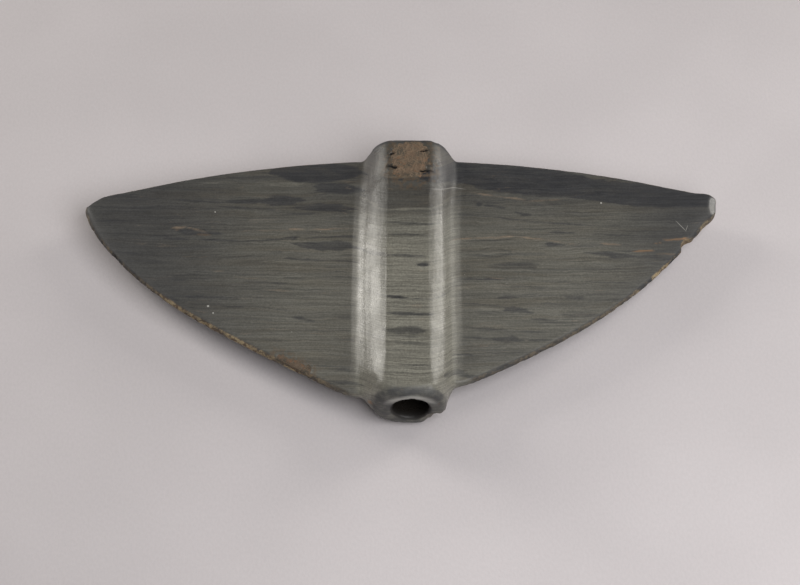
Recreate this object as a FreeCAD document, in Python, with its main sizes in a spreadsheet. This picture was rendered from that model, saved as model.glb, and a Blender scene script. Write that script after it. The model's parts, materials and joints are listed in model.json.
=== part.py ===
# A winged bannerstone: one piece of banded slate, ground to a flat-topped barrel with a
# straight bore along it and two thin wings that taper to rounded edges. A crust of old
# iron-stained sediment fills a worn patch on the barrel and a flake scar on a wing.
# X runs across the wings, Y along the bore, Z up from the ground flat that it rests on.
# Lengths are in millimetres.
import FreeCAD
import Part
import Sketcher

import math
import os

V = FreeCAD.Vector

SIZES = {
    "barrel_length": 85.0,
    "barrel_thickness": 20.0,
    "barrel_flat_width": 9.0,
    "barrel_foot_width": 31.0,
    "end_thickness": 17.4,
    "end_flat_width": 7.6,
    "end_face_width": 17.0,
    "end_foot_width": 28.0,
    "rim_radius": 2.0,
    "rest_flat_depth": 0.5,
    "bore_diameter": 10.0,
    "bore_offset": 0.8,
    "mouth_bevel": 0.7,
    "left_span": 91.9,
    "right_span": 88.1,
    "upper_setback": 2.3,
    "upper_edge_radius": 298.0,
    "left_overrun": 4.7,
    "left_sweep": 16.4,
    "left_sweep_power": 6.0,
    "left_tip_depth": 5.93,
    "right_overrun": -0.1,
    "right_sweep": 23.6,
    "right_sweep_power": 3.66,
    "right_tip_depth": 4.27,
    "nose_length": 3.0,
    "wing_root_run": 2.6,
    "wing_root_thickness": 7.2,
    "wing_tip_thickness": 3.2,
    "edge_root_thickness": 2.8,
    "edge_tip_thickness": 2.2,
    "notch_share": 0.895,
    "notch_radius": 2.8,
    "notch_depth": 1.2,
    "rim_chip_radius": 9.0,
    "rim_chip_across": 8.7,
    "rim_chip_below": 8.4,
    "rim_chip_outside": 6.0,
    "patch_width": 10.2,
    "patch_offset": 0.4,
    "patch_length": 13.5,
    "patch_margin": 1.2,
    "patch_depth": 0.6,
    "scar_share": 0.349,
    "scar_length": 9.0,
    "scar_width": 3.2,
    "scar_depth": 0.5,
}


def make_sheet(doc):
    """The spreadsheet that holds every driving dimension under its own name."""
    sheet = doc.addObject("Spreadsheet::Sheet", "Sizes")
    for row, (name, size) in enumerate(SIZES.items(), start=1):
        sheet.set(f"A{row}", name)
        sheet.set(f"B{row}", str(size))
        sheet.setAlias(f"B{row}", name)
    doc.recompute()
    return sheet


# Distances that several features share, each worked out from the sheet and measured
# from the middle of the barrel

UPPER_END = "(Sizes.barrel_length / 2)"
LOWER_END = "(-Sizes.barrel_length / 2)"
REST_FLAT = "(Sizes.rest_flat_depth - Sizes.barrel_thickness / 2)"
BARREL_FOOT = "(Sizes.barrel_foot_width / 2)"
BARREL_FLAT = "(Sizes.barrel_flat_width / 2)"
WING_ROOT = "(Sizes.barrel_foot_width / 2 + Sizes.wing_root_run)"

# How far a cutting shape runs out past the surface that it cuts
OVERSHOOT = 2.0


def shoulder(across, flat_width, foot_width):
    """1 on the flat, 0 beyond the shoulder's foot and half a cosine wave between them."""
    run = f"(({across} - {flat_width} / 2) / ({foot_width} / 2 - {flat_width} / 2))"
    return f"((1 + cos(180 * min(1; max(0; {run})))) / 2)"


def upper_edge(across):
    """The wings' upper edge, one shallow arc from tip to tip."""
    drop = f"Sizes.upper_edge_radius - sqrt(Sizes.upper_edge_radius ^ 2 - ({across}) ^ 2)"
    return f"({UPPER_END} - Sizes.upper_setback - ({drop}))"


def straight_climb(side):
    """How far a wing's lower edge climbs besides its sweep, to leave the tip its depth."""
    tip = f"{upper_edge(f'Sizes.{side}_span')} - Sizes.{side}_tip_depth - Sizes.{side}_sweep"
    return f"({tip} - ({LOWER_END} - Sizes.{side}_overrun))"


def lower_edge(side, across):
    """A wing's lower edge: straight out of the barrel's end, then swept up to the tip."""
    share = f"(({across}) / Sizes.{side}_span)"
    straight = f"{LOWER_END} - Sizes.{side}_overrun + {straight_climb(side)} * {share}"
    return f"({straight} + Sizes.{side}_sweep * {share} ^ Sizes.{side}_sweep_power)"


def lower_edge_slope(side, across):
    """How steeply that edge climbs towards the tip."""
    power = f"Sizes.{side}_sweep_power"
    share = f"(({across}) / Sizes.{side}_span)"
    sweep = f"Sizes.{side}_sweep * {power} * {share} ^ ({power} - 1)"
    return f"(({straight_climb(side)} + {sweep}) / Sizes.{side}_span)"


def tapered(part, side, across):
    """A thickness that runs evenly from the wing's root to its tip."""
    root = f"Sizes.{part}_root_thickness"
    tip = f"Sizes.{part}_tip_thickness"
    return f"({root} + ({tip} - {root}) * ({across}) / Sizes.{side}_span)"


# Bodies and sketches

def new_body(doc, name):
    """A body drawn about the middle of the barrel and set down on its rest flat."""
    body = doc.addObject("PartDesign::Body", name)
    body.setExpression("Placement.Base.x", "(Sizes.left_span - Sizes.right_span) / 2")
    body.setExpression("Placement.Base.z", f"-{REST_FLAT}")
    return body


def attach(feature, body, plane):
    origin_plane = next(f for f in body.Origin.OriginFeatures if f.Role == plane)
    feature.AttachmentSupport = [(origin_plane, "")]
    feature.MapMode = "FlatFace"


def new_sketch(body, name, plane):
    sketch = body.newObject("Sketcher::SketchObject", name)
    attach(sketch, body, plane)
    return sketch


def value(owner, formula):
    return float(owner.evalExpression(formula))


def keep(sketch, name, formula):
    """Stores a worked out length on the sketch, for its own constraints to read."""
    sketch.addProperty("App::PropertyFloat", name, "Outline")
    setattr(sketch, name, value(sketch, formula))
    sketch.setExpression(name, formula)


def bind(sketch, kind, formula, *places):
    """Adds a dimension to the sketch and binds it to a formula."""
    index = sketch.addConstraint(Sketcher.Constraint(kind, *places, value(sketch, formula)))
    sketch.setExpression(f"Constraints[{index}]", formula)


def place(sketch, item, point, across, along):
    """Fixes a point of the sketch at two formulas, measured from the sketch's origin."""
    bind(sketch, "DistanceX", across, -1, 1, item, point)
    bind(sketch, "DistanceY", along, -1, 1, item, point)


def arc(x, y, radius, start, stop):
    return Part.ArcOfCircle(Part.Circle(V(x, y, 0), V(0, 0, 1), radius), start, stop)


def upright(x, start, stop):
    return Part.LineSegment(V(x, start, 0), V(x, stop, 0))


def add_polygon(sketch, corners):
    """A closed outline of straight lines through corners given as pairs of formulas."""
    points = [V(value(sketch, x), value(sketch, y), 0) for x, y in corners]
    for start, end in zip(points, points[1:] + points[:1]):
        sketch.addGeometry(Part.LineSegment(start, end))
    for number in range(len(points)):
        following = (number + 1) % len(points)
        sketch.addConstraint(Sketcher.Constraint("Coincident", number, 2, following, 1))
    for number, (x, y) in enumerate(corners):
        place(sketch, number, 1, x, y)


# One cross-section of the stone, square to X: two arched faces and two flat ends, joined
# by rounded corners. Its own x runs along the bore and its own y up.

# The most of the edge's half thickness and of the wing's half width that a corner takes
CORNER_OF_THICKNESS = 0.9
CORNER_OF_WIDTH = 0.45


def add_section(body, name, side, across, roundness=1.0):
    sketch = new_sketch(body, name, "YZ_Plane")
    sign = -1 if side == "left" else 1
    sketch.setExpression("AttachmentOffset.Base.z", f"{sign} * {across}")

    face = shoulder(across, "Sizes.barrel_flat_width", "Sizes.barrel_foot_width")
    end = shoulder(across, "Sizes.end_flat_width", "Sizes.end_foot_width")
    reach = shoulder(across, "Sizes.end_face_width", "Sizes.end_foot_width")
    wing = tapered("wing", side, across)
    edge = tapered("edge", side, across)
    high = upper_edge(across)
    low = lower_edge(side, across)
    thinness = math.sqrt(roundness)
    keep(sketch, "high", f"{high} + ({UPPER_END} - {high}) * {reach}")
    keep(sketch, "low", f"{low} + ({LOWER_END} - {low}) * {reach}")
    keep(sketch, "middle", "(high + low) / 2")
    keep(sketch, "half_width", f"{roundness} * (high - low) / 2")
    keep(sketch, "crown", f"{thinness} * ({wing} + (Sizes.barrel_thickness - {wing}) * {face}) / 2")
    keep(sketch, "rim", f"{thinness} * ({edge} + (Sizes.end_thickness - {edge}) * {end}) / 2")
    limits = f"{CORNER_OF_THICKNESS} * rim; {CORNER_OF_WIDTH} * half_width"
    keep(sketch, "corner", f"min(Sizes.rim_radius; {limits})")
    keep(sketch, "chord", "half_width - corner")
    keep(sketch, "rise", "crown - rim")
    keep(sketch, "bow", "(chord ^ 2 + rise * (rise + 2 * corner)) / (2 * rise)")

    # Counterclockwise from the upper front corner; each arch runs into its corners smoothly
    corner, bow, middle = sketch.corner, sketch.bow, sketch.middle
    left, right = middle - sketch.chord, middle + sketch.chord
    seat = sketch.rim - corner
    arch_centre = sketch.crown - bow
    lean = math.acos(sketch.chord / (bow - corner))
    half_turn = math.pi
    for item in (
        arc(right, seat, corner, 0, lean),
        arc(middle, arch_centre, bow, lean, half_turn - lean),
        arc(left, seat, corner, half_turn - lean, half_turn),
        upright(left - corner, seat, -seat),
        arc(left, -seat, corner, half_turn, half_turn + lean),
        arc(middle, -arch_centre, bow, half_turn + lean, 2 * half_turn - lean),
        arc(right, -seat, corner, 2 * half_turn - lean, 2 * half_turn),
        upright(right + corner, -seat, seat),
    ):
        sketch.addGeometry(item)
    for number in range(8):
        following = (number + 1) % 8
        sketch.addConstraint(Sketcher.Constraint("Tangent", number, 2, following, 1))
    place(sketch, 0, 3, "middle + chord", "rim - corner")
    place(sketch, 2, 3, "middle - chord", "rim - corner")
    place(sketch, 4, 3, "middle - chord", "corner - rim")
    place(sketch, 6, 3, "middle + chord", "corner - rim")
    for corner_arc in (0, 2, 4, 6):
        bind(sketch, "Radius", "corner", corner_arc)
    for arch in (1, 5):
        bind(sketch, "Radius", "bow", arch)
    return sketch


# The stone before it was chipped and worn: one loft from tip to tip, whose sections stand
# close together where the form turns quickly. Each place is a share of the way across
# the nose, the wing or the shoulder.

NOSE_SHARES = (0.0, 0.1, 0.3, 0.6, 1.0)
NOSE_BLUNTNESS = 0.04
WING_SHARES = (0.88, 0.72, 0.54, 0.36, 0.18, 0.0)
SHOULDER_SHARES = (1.0, 0.8, 0.6, 0.4, 0.2, 0.0)
FLAT_SHARE = 0.5


def wing_sections(body, side):
    """The sections of one wing, from its tip to its root."""
    sections = []
    for share in NOSE_SHARES:
        across = f"(Sizes.{side}_span - Sizes.nose_length * {share})"
        roundness = math.sqrt(1 - max(0, 1 - share - NOSE_BLUNTNESS) ** 2)
        sections.append((across, roundness))
    for share in WING_SHARES:
        width = f"(Sizes.{side}_span - Sizes.nose_length - {WING_ROOT})"
        sections.append((f"({WING_ROOT} + {share} * {width})", 1.0))
    return [
        add_section(body, f"{side}_wing_section_{number}", side, across, roundness)
        for number, (across, roundness) in enumerate(sections, start=1)
    ]


def shoulder_sections(body, side):
    """The sections of one shoulder of the barrel, from its foot towards the middle."""
    places = [
        f"({BARREL_FLAT} + {share} * ({BARREL_FOOT} - {BARREL_FLAT}))" for share in SHOULDER_SHARES
    ]
    places.append(f"({FLAT_SHARE} * {BARREL_FLAT})")
    return [
        add_section(body, f"{side}_shoulder_section_{number}", side, across)
        for number, across in enumerate(places, start=1)
    ]


def loft_stone(body):
    left = wing_sections(body, "left") + shoulder_sections(body, "left")
    middle = add_section(body, "middle_section", "right", "0")
    right = wing_sections(body, "right") + shoulder_sections(body, "right")
    loft = body.newObject("PartDesign::AdditiveLoft", "ground_form")
    loft.Profile = left[0]
    loft.Sections = left[1:] + [middle] + right[::-1]
    return loft


def grind_rest_flat(body):
    """The flat on the barrel's back, where the stone lies steady."""
    sketch = new_sketch(body, "rest_flat_outline", "XY_Plane")
    sketch.setExpression("AttachmentOffset.Base.z", REST_FLAT)
    side = "Sizes.barrel_foot_width"
    end = "Sizes.barrel_length"
    add_polygon(sketch, [(f"-{side}", f"-{end}"), (side, f"-{end}"), (side, end), (f"-{side}", end)])
    flat = body.newObject("PartDesign::Pocket", "rest_flat")
    flat.Profile = sketch
    flat.setExpression("Length", f"Sizes.rest_flat_depth + {OVERSHOOT}")
    return flat


def drill_bore(body):
    """The straight bore from end to end, a little off the middle, with eased mouths."""
    sketch = new_sketch(body, "bore_profile", "YZ_Plane")
    sketch.setExpression("AttachmentOffset.Base.z", "Sizes.bore_offset")
    radius = "Sizes.bore_diameter / 2"
    mouth = f"{radius} + Sizes.mouth_bevel + {OVERSHOOT}"
    add_polygon(sketch, [
        (f"{LOWER_END} - {OVERSHOOT}", "0"),
        (f"{UPPER_END} + {OVERSHOOT}", "0"),
        (f"{UPPER_END} + {OVERSHOOT}", mouth),
        (f"{UPPER_END} - Sizes.mouth_bevel", radius),
        (f"{LOWER_END} + Sizes.mouth_bevel", radius),
        (f"{LOWER_END} - {OVERSHOOT}", mouth),
    ])
    bore = body.newObject("PartDesign::Groove", "bore")
    bore.Profile = sketch
    bore.ReferenceAxis = (sketch, ["H_Axis"])
    bore.Angle = 360
    return bore


def chip_rim(body):
    """A shell-shaped chip out of the barrel's lower end, low on the right of the bore."""
    chip = body.newObject("PartDesign::SubtractiveSphere", "rim_chip")
    chip.setExpression("Radius", "Sizes.rim_chip_radius")
    chip.setExpression("AttachmentOffset.Base.x", "Sizes.bore_offset + Sizes.rim_chip_across")
    chip.setExpression("AttachmentOffset.Base.y", f"{LOWER_END} - Sizes.rim_chip_outside")
    chip.setExpression("AttachmentOffset.Base.z", "-Sizes.rim_chip_below")
    attach(chip, body, "XY_Plane")
    return chip


def bite_notch(body):
    """The bite out of the right wing's lower edge, near its tip."""
    sketch = new_sketch(body, "notch_outline", "XY_Plane")
    across = "(Sizes.notch_share * Sizes.right_span)"
    slope = lower_edge_slope("right", across)
    keep(sketch, "slope", slope)
    keep(sketch, "outside", "(Sizes.notch_radius - Sizes.notch_depth) / sqrt(1 + slope ^ 2)")
    keep(sketch, "centre_x", f"{across} + outside * slope")
    keep(sketch, "centre_y", f"{lower_edge('right', across)} - outside")
    centre = V(sketch.centre_x, sketch.centre_y, 0)
    sketch.addGeometry(Part.Circle(centre, V(0, 0, 1), value(sketch, "Sizes.notch_radius")))
    place(sketch, 0, 3, "centre_x", "centre_y")
    bind(sketch, "Radius", "Sizes.notch_radius", 0)
    notch = body.newObject("PartDesign::Pocket", "notch")
    notch.Profile = sketch
    notch.Midplane = True
    notch.setExpression("Length", "Sizes.wing_root_thickness * 2")
    return notch


def make_blank(doc):
    body = new_body(doc, "stone_blank")
    for step in (loft_stone, grind_rest_flat, drill_bore, chip_rim, bite_notch):
        feature = step(body)
        doc.recompute()
        print(f"{feature.Name}: volume {feature.Shape.Volume:.1f} mm3, valid {feature.Shape.isValid()}")
    return body


# The two hollows that the crusts fill

def make_patch_hollow(doc):
    """A shallow hollow in the barrel's front, just short of its upper end."""
    body = new_body(doc, "patch_hollow")
    sketch = new_sketch(body, "patch_profile", "YZ_Plane")
    sketch.setExpression("AttachmentOffset.Base.z", "Sizes.patch_offset")
    keep(sketch, "upper", f"{UPPER_END} - Sizes.patch_margin")
    keep(sketch, "lower", "upper - Sizes.patch_length")
    keep(sketch, "bow", "middle_section.bow - Sizes.patch_depth")
    keep(sketch, "centre_y", "middle_section.crown - middle_section.bow")
    keep(sketch, "top", f"Sizes.barrel_thickness / 2 + {OVERSHOOT}")
    keep(sketch, "upper_floor", "centre_y + sqrt(bow ^ 2 - upper ^ 2)")
    keep(sketch, "lower_floor", "centre_y + sqrt(bow ^ 2 - lower ^ 2)")
    start = math.acos(sketch.upper / sketch.bow)
    stop = math.acos(sketch.lower / sketch.bow)
    top_corners = V(sketch.upper, sketch.top, 0), V(sketch.lower, sketch.top, 0)
    sketch.addGeometry(upright(sketch.upper, sketch.upper_floor, sketch.top))
    sketch.addGeometry(Part.LineSegment(*top_corners))
    sketch.addGeometry(upright(sketch.lower, sketch.top, sketch.lower_floor))
    sketch.addGeometry(arc(0, sketch.centre_y, sketch.bow, start, stop))
    sketch.addConstraint(Sketcher.Constraint("Coincident", 0, 2, 1, 1))
    sketch.addConstraint(Sketcher.Constraint("Coincident", 1, 2, 2, 1))
    sketch.addConstraint(Sketcher.Constraint("Coincident", 2, 2, 3, 2))
    sketch.addConstraint(Sketcher.Constraint("Coincident", 3, 1, 0, 1))
    place(sketch, 0, 1, "upper", "upper_floor")
    place(sketch, 0, 2, "upper", "top")
    place(sketch, 2, 1, "lower", "top")
    place(sketch, 2, 2, "lower", "lower_floor")
    bind(sketch, "Radius", "bow", 3)
    pad = body.newObject("PartDesign::Pad", "patch_block")
    pad.Profile = sketch
    pad.Midplane = True
    pad.setExpression("Length", "Sizes.patch_width")
    doc.recompute()
    return body


def make_scar_hollow(doc):
    """A shallow hollow in the front of the left wing's lower edge, laid along that edge."""
    body = new_body(doc, "scar_hollow")
    sketch = new_sketch(body, "scar_outline", "XY_Plane")
    across = "(Sizes.scar_share * Sizes.left_span)"
    keep(sketch, "edge_y", lower_edge("left", across))
    keep(sketch, "slope", lower_edge_slope("left", across))
    keep(sketch, "run_x", "1 / sqrt(1 + slope ^ 2)")
    keep(sketch, "run_y", "slope / sqrt(1 + slope ^ 2)")
    corners = []
    for along, inward in (
        ("-Sizes.scar_length / 2", f"-{OVERSHOOT}"),
        ("-Sizes.scar_length / 2", "Sizes.scar_width"),
        ("Sizes.scar_length / 2", "Sizes.scar_width"),
        ("Sizes.scar_length / 2", f"-{OVERSHOOT}"),
    ):
        x = f"-({across} + ({along}) * run_x - ({inward}) * run_y)"
        y = f"edge_y + ({along}) * run_y + ({inward}) * run_x"
        corners.append((x, y))
    add_polygon(sketch, corners)
    floor = f"({tapered('edge', 'left', across)} / 2 - Sizes.scar_depth)"
    sketch.setExpression("AttachmentOffset.Base.z", floor)
    pad = body.newObject("PartDesign::Pad", "scar_block")
    pad.Profile = sketch
    pad.setExpression("Length", f"Sizes.wing_root_thickness / 2 + {OVERSHOOT}")
    doc.recompute()
    return body


def combine(doc, kind, name, base, tool):
    result = doc.addObject(kind, name)
    result.Base = base
    result.Tool = tool
    return result


def make_pieces(doc):
    blank = make_blank(doc)
    patch_hollow = make_patch_hollow(doc)
    scar_hollow = make_scar_hollow(doc)
    patched = combine(doc, "Part::Cut", "stone_with_patch", blank, patch_hollow)
    stone = combine(doc, "Part::Cut", "banner_stone", patched, scar_hollow)
    upper_crust = combine(doc, "Part::Common", "upper_end_crust", blank, patch_hollow)
    edge_crust = combine(doc, "Part::Common", "left_edge_crust", blank, scar_hollow)
    return stone, upper_crust, edge_crust


def check_and_export(doc, pieces):
    failed = [o.Name for o in doc.Objects if "Invalid" in o.State or "Error" in o.State]
    if failed:
        raise RuntimeError(f"these objects failed: {failed}")
    for piece in pieces:
        if piece.Shape.isNull() or not piece.Shape.isValid():
            raise RuntimeError(f"{piece.Label} has no valid shape")
    os.makedirs("parts", exist_ok=True)
    for piece in pieces:
        piece.Shape.exportStep(f"parts/{piece.Label}.step")
        box = piece.Shape.BoundBox
        print(
            f"{piece.Label}: {len(piece.Shape.Solids)} solid, {piece.Shape.Volume:.1f} mm3, "
            f"x {box.XMin:.2f} to {box.XMax:.2f}, y {box.YMin:.2f} to {box.YMax:.2f}, "
            f"z {box.ZMin:.2f} to {box.ZMax:.2f}"
        )


document = FreeCAD.newDocument("bannerstone")
make_sheet(document)
sub_parts = make_pieces(document)
document.recompute()
check_and_export(document, sub_parts)
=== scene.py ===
import json
import math

import bmesh
import bpy
import numpy as np
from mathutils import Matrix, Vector, noise
from mathutils.bvhtree import BVHTree


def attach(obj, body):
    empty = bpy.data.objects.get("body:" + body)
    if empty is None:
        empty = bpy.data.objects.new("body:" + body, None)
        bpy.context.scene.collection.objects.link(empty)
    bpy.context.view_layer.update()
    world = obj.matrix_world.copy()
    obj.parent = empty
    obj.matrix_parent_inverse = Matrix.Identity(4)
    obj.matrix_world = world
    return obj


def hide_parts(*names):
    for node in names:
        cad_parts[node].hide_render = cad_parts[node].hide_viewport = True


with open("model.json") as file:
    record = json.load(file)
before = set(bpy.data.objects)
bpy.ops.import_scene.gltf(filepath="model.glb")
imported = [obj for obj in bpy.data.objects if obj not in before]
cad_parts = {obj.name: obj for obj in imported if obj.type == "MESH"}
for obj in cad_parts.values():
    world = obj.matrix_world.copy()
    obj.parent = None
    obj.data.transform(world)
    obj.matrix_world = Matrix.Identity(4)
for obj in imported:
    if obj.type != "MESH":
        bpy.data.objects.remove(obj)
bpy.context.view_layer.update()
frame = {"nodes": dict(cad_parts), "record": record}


# The stone. One pebble of banded slate, pecked and ground to a flat-topped barrel with two
# thin wings, drilled from end to end with a reed and sand, then rubbed smooth along the
# barrel and across the wings. Its rims are nibbled, and a notch is broken out of one wing.

MM = 0.001
STONE_NODES = ("banner_stone", "upper_end_crust", "left_edge_crust")
SKIN_GRID = 0.36
SMOOTHING_ROUNDS = 3

BARREL_MIDDLE = 1.9
BARREL_HALF = 15.5
bore = next(mount for mount in frame["record"]["mounts"] if mount["name"] == "shaft_bore")
BORE_ACROSS, _, BORE_HEIGHT = (place / MM for place in bore["pos_m"])
BORE_RADIUS = bore["dims"]["r_mm"]


def closed_skin(name, nodes, grid):
    """One closed surface round the CAD solids named, with their inner walls gone."""
    gathered = bmesh.new()
    for node_name in nodes:
        gathered.from_mesh(frame["nodes"][node_name].data)
    mesh = bpy.data.meshes.new(name)
    gathered.to_mesh(mesh)
    gathered.free()
    rough = bpy.data.objects.new(name, mesh)
    bpy.context.scene.collection.objects.link(rough)
    remesh = rough.modifiers.new("skin", "REMESH")
    remesh.mode = "VOXEL"
    remesh.voxel_size = grid * MM
    smooth = rough.modifiers.new("smooth", "SMOOTH")
    smooth.factor = 0.5
    smooth.iterations = SMOOTHING_ROUNDS
    bpy.context.view_layer.update()
    finished = rough.evaluated_get(bpy.context.evaluated_depsgraph_get())
    skin = bpy.data.meshes.new_from_object(finished)
    bpy.data.objects.remove(rough)
    bpy.data.meshes.remove(mesh)
    skin.name = name
    return skin


def points_of(mesh):
    points = np.zeros(len(mesh.vertices) * 3)
    mesh.vertices.foreach_get("co", points)
    return points.reshape(-1, 3) / MM


def normals_of(mesh):
    normals = np.zeros(len(mesh.vertices) * 3)
    mesh.vertex_normals.foreach_get("vector", normals)
    return normals.reshape(-1, 3)


def move_points(mesh, points):
    mesh.vertices.foreach_set("co", (points * MM).ravel())
    mesh.update()


def ripple(points, lengths, seed):
    """A smooth random height from about -1 to 1 at each point, with waves of those lengths."""
    shifted = points / np.array(lengths) + seed
    return np.array([noise.noise(Vector(p)) for p in shifted])


def ease(amount, low, high):
    """0 below low, 1 above high and a smooth step between them."""
    share = np.clip((amount - low) / (high - low), 0.0, 1.0)
    return share * share * (3.0 - 2.0 * share)


def store(mesh, name, amounts):
    """Keeps a number for each point, for the materials to read."""
    layer = mesh.attributes.new(name, "FLOAT", "POINT")
    layer.data.foreach_set("value", np.asarray(amounts, np.float32))


def shade_smooth(mesh):
    mesh.polygons.foreach_set("use_smooth", np.ones(len(mesh.polygons), bool))


stone_skin = closed_skin("ground_stone", STONE_NODES, SKIN_GRID)
points = points_of(stone_skin)
normals = normals_of(stone_skin)
across = np.abs(points[:, 0] - BARREL_MIDDLE)
bore_distance = np.hypot(points[:, 0] - BORE_ACROSS, points[:, 2] - BORE_HEIGHT)
in_bore = bore_distance < BORE_RADIUS + 0.25
on_barrel = 1.0 - ease(across, BARREL_HALF - 3.0, BARREL_HALF + 1.0)
on_rim = ease(1.0 - np.abs(normals[:, 2]), 0.12, 0.6) * (1.0 - on_barrel)

# Rubbing left low swells everywhere, and faint grooves along the barrel and the wings
swell = 0.07 * ripple(points, (16, 13, 16), 3.1) + 0.03 * ripple(points, (6, 5, 6), 8.4)
barrel_grooves = 0.035 * ripple(points, (1.6, 26, 1.6), 5.7)
barrel_grooves += 0.05 * ripple(points, (4.2, 60, 4.2), 1.9)
wing_grooves = 0.02 * ripple(points, (30, 1.7, 6), 2.3)
lift = swell + barrel_grooves * on_barrel + wing_grooves * (1.0 - on_barrel)
lift[in_bore] = 0.0

# Drilling left rings in the bore
along_bore = points * np.array((0.0, 1.0, 0.0))
lift += np.where(in_bore, 0.09 * ripple(along_bore, (1, 0.9, 1), 6.6), 0.0)

# Small flakes are gone from the rims, most of all low on the wings, but not from the right
# wing's ground tip
LOWER_FLAKES = 0.5
UPPER_FLAKES = 0.14
low_side = ease(-normals[:, 1], -0.2, 0.5)
flake_depth = UPPER_FLAKES + (LOWER_FLAKES - UPPER_FLAKES) * low_side
flaked = ease(ripple(points, (3.4, 3.4, 2.2), 4.2), 0.12, 0.5)
flaked += 0.5 * ease(ripple(points, (1.3, 1.3, 1.1), 7.5), 0.15, 0.5)
off_right_tip = 1.0 - ease(points[:, 0], 82.0, 85.0) * (points[:, 1] > 14.0)
lift -= on_rim * flaked * flake_depth * off_right_tip

# The notch broke roughly, and so did the chip below the bore's lower mouth
NOTCH = (80.7, 10.4)
NOTCH_REACH = 4.2
CHIP = (11.4, -48.5, 1.1)
CHIP_RADIUS = 9.0
CHIP_LINES = 0.12
notch_distance = np.hypot(points[:, 0] - NOTCH[0], points[:, 1] - NOTCH[1])
in_notch = (1.0 - ease(notch_distance, NOTCH_REACH - 1.6, NOTCH_REACH)) * on_rim
chip_distance = np.linalg.norm(points - np.array(CHIP), axis=1)
in_chip = 1.0 - ease(np.abs(chip_distance - CHIP_RADIUS), 0.15, 0.5)
in_chip *= ease(points[:, 0], 5.0, 6.5)
break_roughness = 0.3 * ripple(points, (1.1, 1.1, 1.1), 9.2)
lift += in_notch * break_roughness - in_notch * 0.15
lift += in_chip * (CHIP_LINES * np.sin(points[:, 0] * 4.0) + 0.5 * break_roughness)

# The collars round both mouths are worn and nicked
MOUTH_REACH = 2.4
MOUTH_WEAR = 0.12
COLLAR_NICKS = 0.12
at_end = ease(np.abs(points[:, 1]), 40.2, 41.6)
at_mouth = at_end * (1.0 - ease(bore_distance, BORE_RADIUS + 0.6, BORE_RADIUS + MOUTH_REACH))
mouth_wear = ease(ripple(points, (2.6, 2.6, 2.6), 3.3), 0.05, 0.5)
lift -= at_mouth * MOUTH_WEAR * mouth_wear
nicked = ease(ripple(points, (3.2, 2.0, 3.2), 6.1), 0.15, 0.5)
lift -= at_end * (1.0 - at_mouth) * COLLAR_NICKS * nicked


class Hollow:
    """A shallow worn hollow in the front face, filled with a crust. Its outline is uneven,
    between an oval and a rectangle."""

    squareness = 2.6

    def __init__(
        self, middle, half_length, half_width, turn, depth, fade, unevenness, seed, pits=(),
    ):
        self.middle = np.array(middle)
        self.half = np.array((half_length, half_width))
        self.turn = turn
        self.depth = depth
        self.fade = fade
        self.unevenness = unevenness
        self.seed = seed
        self.pits = pits

    def local(self, points):
        shifted = points[:, :2] - self.middle
        cosine, sine = math.cos(self.turn), math.sin(self.turn)
        along = shifted[:, 0] * cosine + shifted[:, 1] * sine
        aside = shifted[:, 1] * cosine - shifted[:, 0] * sine
        return np.stack([along, aside], 1)

    def cover(self, points, margin=0.0):
        """1 well inside the outline and 0 outside it."""
        flat = points * np.array((1.0, 1.0, 0.0))
        ragged = 1.1 * ripple(flat, (2.6, 2.6, 1), self.seed)
        ragged = ragged + 0.7 * ripple(flat, (0.9, 0.9, 1), self.seed + 4)
        ragged *= self.unevenness
        share = np.abs(self.local(points)) / self.half
        away = (share ** self.squareness).sum(1) ** (1 / self.squareness)
        inside = (1.0 - away) * self.half.min() + ragged + margin
        return ease(inside, 0.0, self.fade) * (1.0 - self.pitted(points))

    def pitted(self, points):
        """1 in the middle of a pit, where the crust has fallen out."""
        depth = np.zeros(len(points))
        wobble = 0.45 * ripple(points * np.array((1.0, 1.0, 0.0)), (0.9, 0.6, 1), self.seed + 9)
        for x, y, length, width, turn in self.pits:
            run, rise = points[:, 0] - x, points[:, 1] - y
            along = (run * math.cos(turn) + rise * math.sin(turn)) / length
            aside = (rise * math.cos(turn) - run * math.sin(turn)) / width
            depth = np.maximum(depth, 1.0 - ease(np.hypot(along, aside) + wobble, 0.5, 1.1))
        return depth


# Two pits on the left of the patch and two on its right: place, half length, half width
# and turn
PATCH_PITS = (
    (-2.1, 36.6, 0.8, 0.6, 0.3),
    (-1.7, 31.8, 1.6, 0.65, -0.43),
    (4.9, 37.6, 1.6, 0.4, 0.33),
    (5.0, 30.3, 1.9, 0.55, 0.06),
)
patch = Hollow(
    (2.0, 34.7), half_length=4.8, half_width=7.3, turn=0.0,
    depth=0.5, fade=1.3, unevenness=1.15, seed=2.0, pits=PATCH_PITS,
)
scar = Hollow(
    (-29.4, -28.9), half_length=6.4, half_width=2.2, turn=math.radians(-27.0),
    depth=0.3, fade=1.4, unevenness=0.8, seed=6.0,
)


def press(points, hollow, front):
    """How deep each point is pressed in by a hollow and its pits."""
    covered = np.maximum(hollow.cover(points, margin=0.1), 1.3 * hollow.pitted(points))
    return covered * front * hollow.depth


front = ease(normals[:, 2], 0.15, 0.4) * (points[:, 2] > BORE_HEIGHT)
front *= 1.0 - ease(np.abs(points[:, 1]), 40.8, 41.6)
skin_tree = BVHTree.FromPolygons(
    [Vector(p) for p in points], [tuple(face.vertices) for face in stone_skin.polygons]
)
pressed = np.maximum(press(points, patch, front), press(points, scar, front))
pitted = patch.pitted(points) * front
soiled = np.maximum(patch.cover(points, margin=2.8), scar.cover(points, margin=1.2)) * front
points = points + normals * lift[:, None]
points[:, 2] -= pressed

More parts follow.
